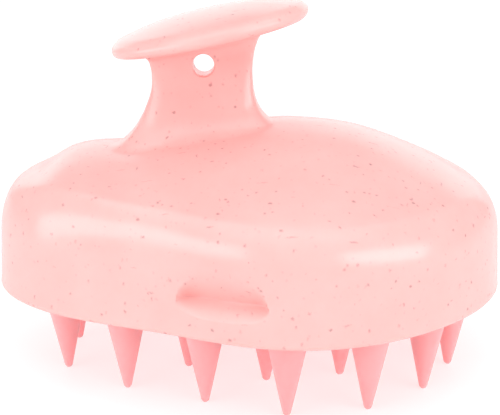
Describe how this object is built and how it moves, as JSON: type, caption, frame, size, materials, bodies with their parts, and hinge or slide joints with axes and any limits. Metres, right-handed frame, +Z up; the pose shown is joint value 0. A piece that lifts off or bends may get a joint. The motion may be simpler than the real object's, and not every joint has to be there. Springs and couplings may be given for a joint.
{
  "type": "scalp massager brush",
  "caption": "Hand-held scalp massager: egg-shaped hollow shell with a tilted palm disc on a drilled neck, over a soft pad of flexible cone bristles.",
  "frame": {"origin": "bottom centre of the overall box, on the plane of the bristle tips", "axes": "+Z up out of the palm disc, +X towards the round end of the shell and the raised end of the disc, +Y across; the part is the same on both sides of the XZ plane"},
  "size_m": [0.101, 0.0796, 0.073],
  "materials": {
    "shell_plastic": "satin gloss injection moulding, straw-filled with small dark flecks",
    "plate_plastic": "plain moulded",
    "silicone": "satin translucent silicone"
  },
  "bodies": {
    "handle_body": {"body_shell": "shell_plastic", "backing_plate": "plate_plastic", "bristle_pad": "silicone"},
    "bristle_outer_01": {"bristle_outer_01": "silicone"},
    "bristle_outer_02": {"bristle_outer_02": "silicone"},
    "bristle_outer_03": {"bristle_outer_03": "silicone"},
    "bristle_outer_04": {"bristle_outer_04": "silicone"},
    "bristle_outer_05": {"bristle_outer_05": "silicone"},
    "bristle_outer_06": {"bristle_outer_06": "silicone"},
    "bristle_outer_07": {"bristle_outer_07": "silicone"},
    "bristle_outer_08": {"bristle_outer_08": "silicone"},
    "bristle_outer_09": {"bristle_outer_09": "silicone"},
    "bristle_outer_10": {"bristle_outer_10": "silicone"},
    "bristle_outer_11": {"bristle_outer_11": "silicone"},
    "bristle_outer_12": {"bristle_outer_12": "silicone"},
    "bristle_outer_13": {"bristle_outer_13": "silicone"},
    "bristle_outer_14": {"bristle_outer_14": "silicone"},
    "bristle_inner_1": {"bristle_inner_1": "silicone"},
    "bristle_inner_2": {"bristle_inner_2": "silicone"},
    "bristle_inner_3": {"bristle_inner_3": "silicone"},
    "bristle_inner_4": {"bristle_inner_4": "silicone"},
    "bristle_inner_5": {"bristle_inner_5": "silicone"},
    "bristle_inner_6": {"bristle_inner_6": "silicone"},
    "bristle_inner_7": {"bristle_inner_7": "silicone"},
    "bristle_inner_8": {"bristle_inner_8": "silicone"},
    "bristle_middle": {"bristle_middle": "silicone"}
  },
  "joints": [
    {"name": "bend_outer_01", "type": "hinge", "parent": "handle_body", "child": "bristle_outer_01", "pos_m": [-0.03669, -0.0076, 0.0174], "axis": [0.1794, -0.9838, 0], "range_deg": [-16, 16], "stiffness_Nm_per_rad": 0.05},
    {"name": "bend_outer_02", "type": "hinge", "parent": "handle_body", "child": "bristle_outer_02", "pos_m": [-0.02367, -0.01735, 0.0174], "axis": [0.5178, -0.8555, 0], "range_deg": [-16, 16], "stiffness_Nm_per_rad": 0.05},
    {"name": "bend_outer_03", "type": "hinge", "parent": "handle_body", "child": "bristle_outer_03", "pos_m": [-0.0083, -0.02365, 0.0174], "axis": [0.8717, -0.49, 0], "range_deg": [-16, 16], "stiffness_Nm_per_rad": 0.05},
    {"name": "bend_outer_04", "type": "hinge", "parent": "handle_body", "child": "bristle_outer_04", "pos_m": [0.007, -0.02937, 0.0174], "axis": [0.9977, 0.0679, 0], "range_deg": [-16, 16], "stiffness_Nm_per_rad": 0.05},
    {"name": "bend_outer_05", "type": "hinge", "parent": "handle_body", "child": "bristle_outer_05", "pos_m": [0.02228, -0.0267, 0.0174], "axis": [0.8394, 0.5434, 0], "range_deg": [-16, 16], "stiffness_Nm_per_rad": 0.05},
    {"name": "bend_outer_06", "type": "hinge", "parent": "handle_body", "child": "bristle_outer_06", "pos_m": [0.03397, -0.0177, 0.0174], "axis": [0.5213, 0.8534, 0], "range_deg": [-16, 16], "stiffness_Nm_per_rad": 0.05},
    {"name": "bend_outer_07", "type": "hinge", "parent": "handle_body", "child": "bristle_outer_07", "pos_m": [0.04065, -0.00608, 0.0174], "axis": [0.1681, 0.9858, 0], "range_deg": [-16, 16], "stiffness_Nm_per_rad": 0.05},
    {"name": "bend_outer_08", "type": "hinge", "parent": "handle_body", "child": "bristle_outer_08", "pos_m": [0.04065, 0.00608, 0.0174], "axis": [-0.1681, 0.9858, 0], "range_deg": [-16, 16], "stiffness_Nm_per_rad": 0.05},
    {"name": "bend_outer_09", "type": "hinge", "parent": "handle_body", "child": "bristle_outer_09", "pos_m": [0.03397, 0.0177, 0.0174], "axis": [-0.5213, 0.8534, 0], "range_deg": [-16, 16], "stiffness_Nm_per_rad": 0.05},
    {"name": "bend_outer_10", "type": "hinge", "parent": "handle_body", "child": "bristle_outer_10", "pos_m": [0.02228, 0.0267, 0.0174], "axis": [-0.8394, 0.5434, 0], "range_deg": [-16, 16], "stiffness_Nm_per_rad": 0.05},
    {"name": "bend_outer_11", "type": "hinge", "parent": "handle_body", "child": "bristle_outer_11", "pos_m": [0.007, 0.02937, 0.0174], "axis": [-0.9977, 0.0679, 0], "range_deg": [-16, 16], "stiffness_Nm_per_rad": 0.05},
    {"name": "bend_outer_12", "type": "hinge", "parent": "handle_body", "child": "bristle_outer_12", "pos_m": [-0.0083, 0.02365, 0.0174], "axis": [-0.8717, -0.49, 0], "range_deg": [-16, 16], "stiffness_Nm_per_rad": 0.05},
    {"name": "bend_outer_13", "type": "hinge", "parent": "handle_body", "child": "bristle_outer_13", "pos_m": [-0.02367, 0.01735, 0.0174], "axis": [-0.5178, -0.8555, 0], "range_deg": [-16, 16], "stiffness_Nm_per_rad": 0.05},
    {"name": "bend_outer_14", "type": "hinge", "parent": "handle_body", "child": "bristle_outer_14", "pos_m": [-0.03669, 0.0076, 0.0174], "axis": [-0.1794, -0.9838, 0], "range_deg": [-16, 16], "stiffness_Nm_per_rad": 0.05},
    {"name": "bend_inner_1", "type": "hinge", "parent": "handle_body", "child": "bristle_inner_1", "pos_m": [-0.0266, 0, 0.0174], "axis": [0, -1, 0], "range_deg": [-16, 16], "stiffness_Nm_per_rad": 0.05},
    {"name": "bend_inner_2", "type": "hinge", "parent": "handle_body", "child": "bristle_inner_2", "pos_m": [-0.01227, -0.00725, 0.0174], "axis": [0.3871, -0.922, 0], "range_deg": [-16, 16], "stiffness_Nm_per_rad": 0.05},
    {"name": "bend_inner_3", "type": "hinge", "parent": "handle_body", "child": "bristle_inner_3", "pos_m": [0.00342, -0.01401, 0.0174], "axis": [0.9937, -0.1121, 0], "range_deg": [-16, 16], "stiffness_Nm_per_rad": 0.05},
    {"name": "bend_inner_4", "type": "hinge", "parent": "handle_body", "child": "bristle_inner_4", "pos_m": [0.01819, -0.01126, 0.0174], "axis": [0.6493, 0.7605, 0], "range_deg": [-16, 16], "stiffness_Nm_per_rad": 0.05},
    {"name": "bend_inner_5", "type": "hinge", "parent": "handle_body", "child": "bristle_inner_5", "pos_m": [0.0254, 0, 0.0174], "axis": [0, 1, 0], "range_deg": [-16, 16], "stiffness_Nm_per_rad": 0.05},
    {"name": "bend_inner_6", "type": "hinge", "parent": "handle_body", "child": "bristle_inner_6", "pos_m": [0.01819, 0.01126, 0.0174], "axis": [-0.6493, 0.7605, 0], "range_deg": [-16, 16], "stiffness_Nm_per_rad": 0.05},
    {"name": "bend_inner_7", "type": "hinge", "parent": "handle_body", "child": "bristle_inner_7", "pos_m": [0.00342, 0.01401, 0.0174], "axis": [-0.9937, -0.1121, 0], "range_deg": [-16, 16], "stiffness_Nm_per_rad": 0.05},
    {"name": "bend_inner_8", "type": "hinge", "parent": "handle_body", "child": "bristle_inner_8", "pos_m": [-0.01227, 0.00725, 0.0174], "axis": [-0.3871, -0.922, 0], "range_deg": [-16, 16], "stiffness_Nm_per_rad": 0.05},
    {"name": "bend_middle", "type": "hinge", "parent": "handle_body", "child": "bristle_middle", "pos_m": [0.005, 0, 0.0174], "axis": [0, 1, 0], "range_deg": [-16, 16], "stiffness_Nm_per_rad": 0.05}
  ]
}
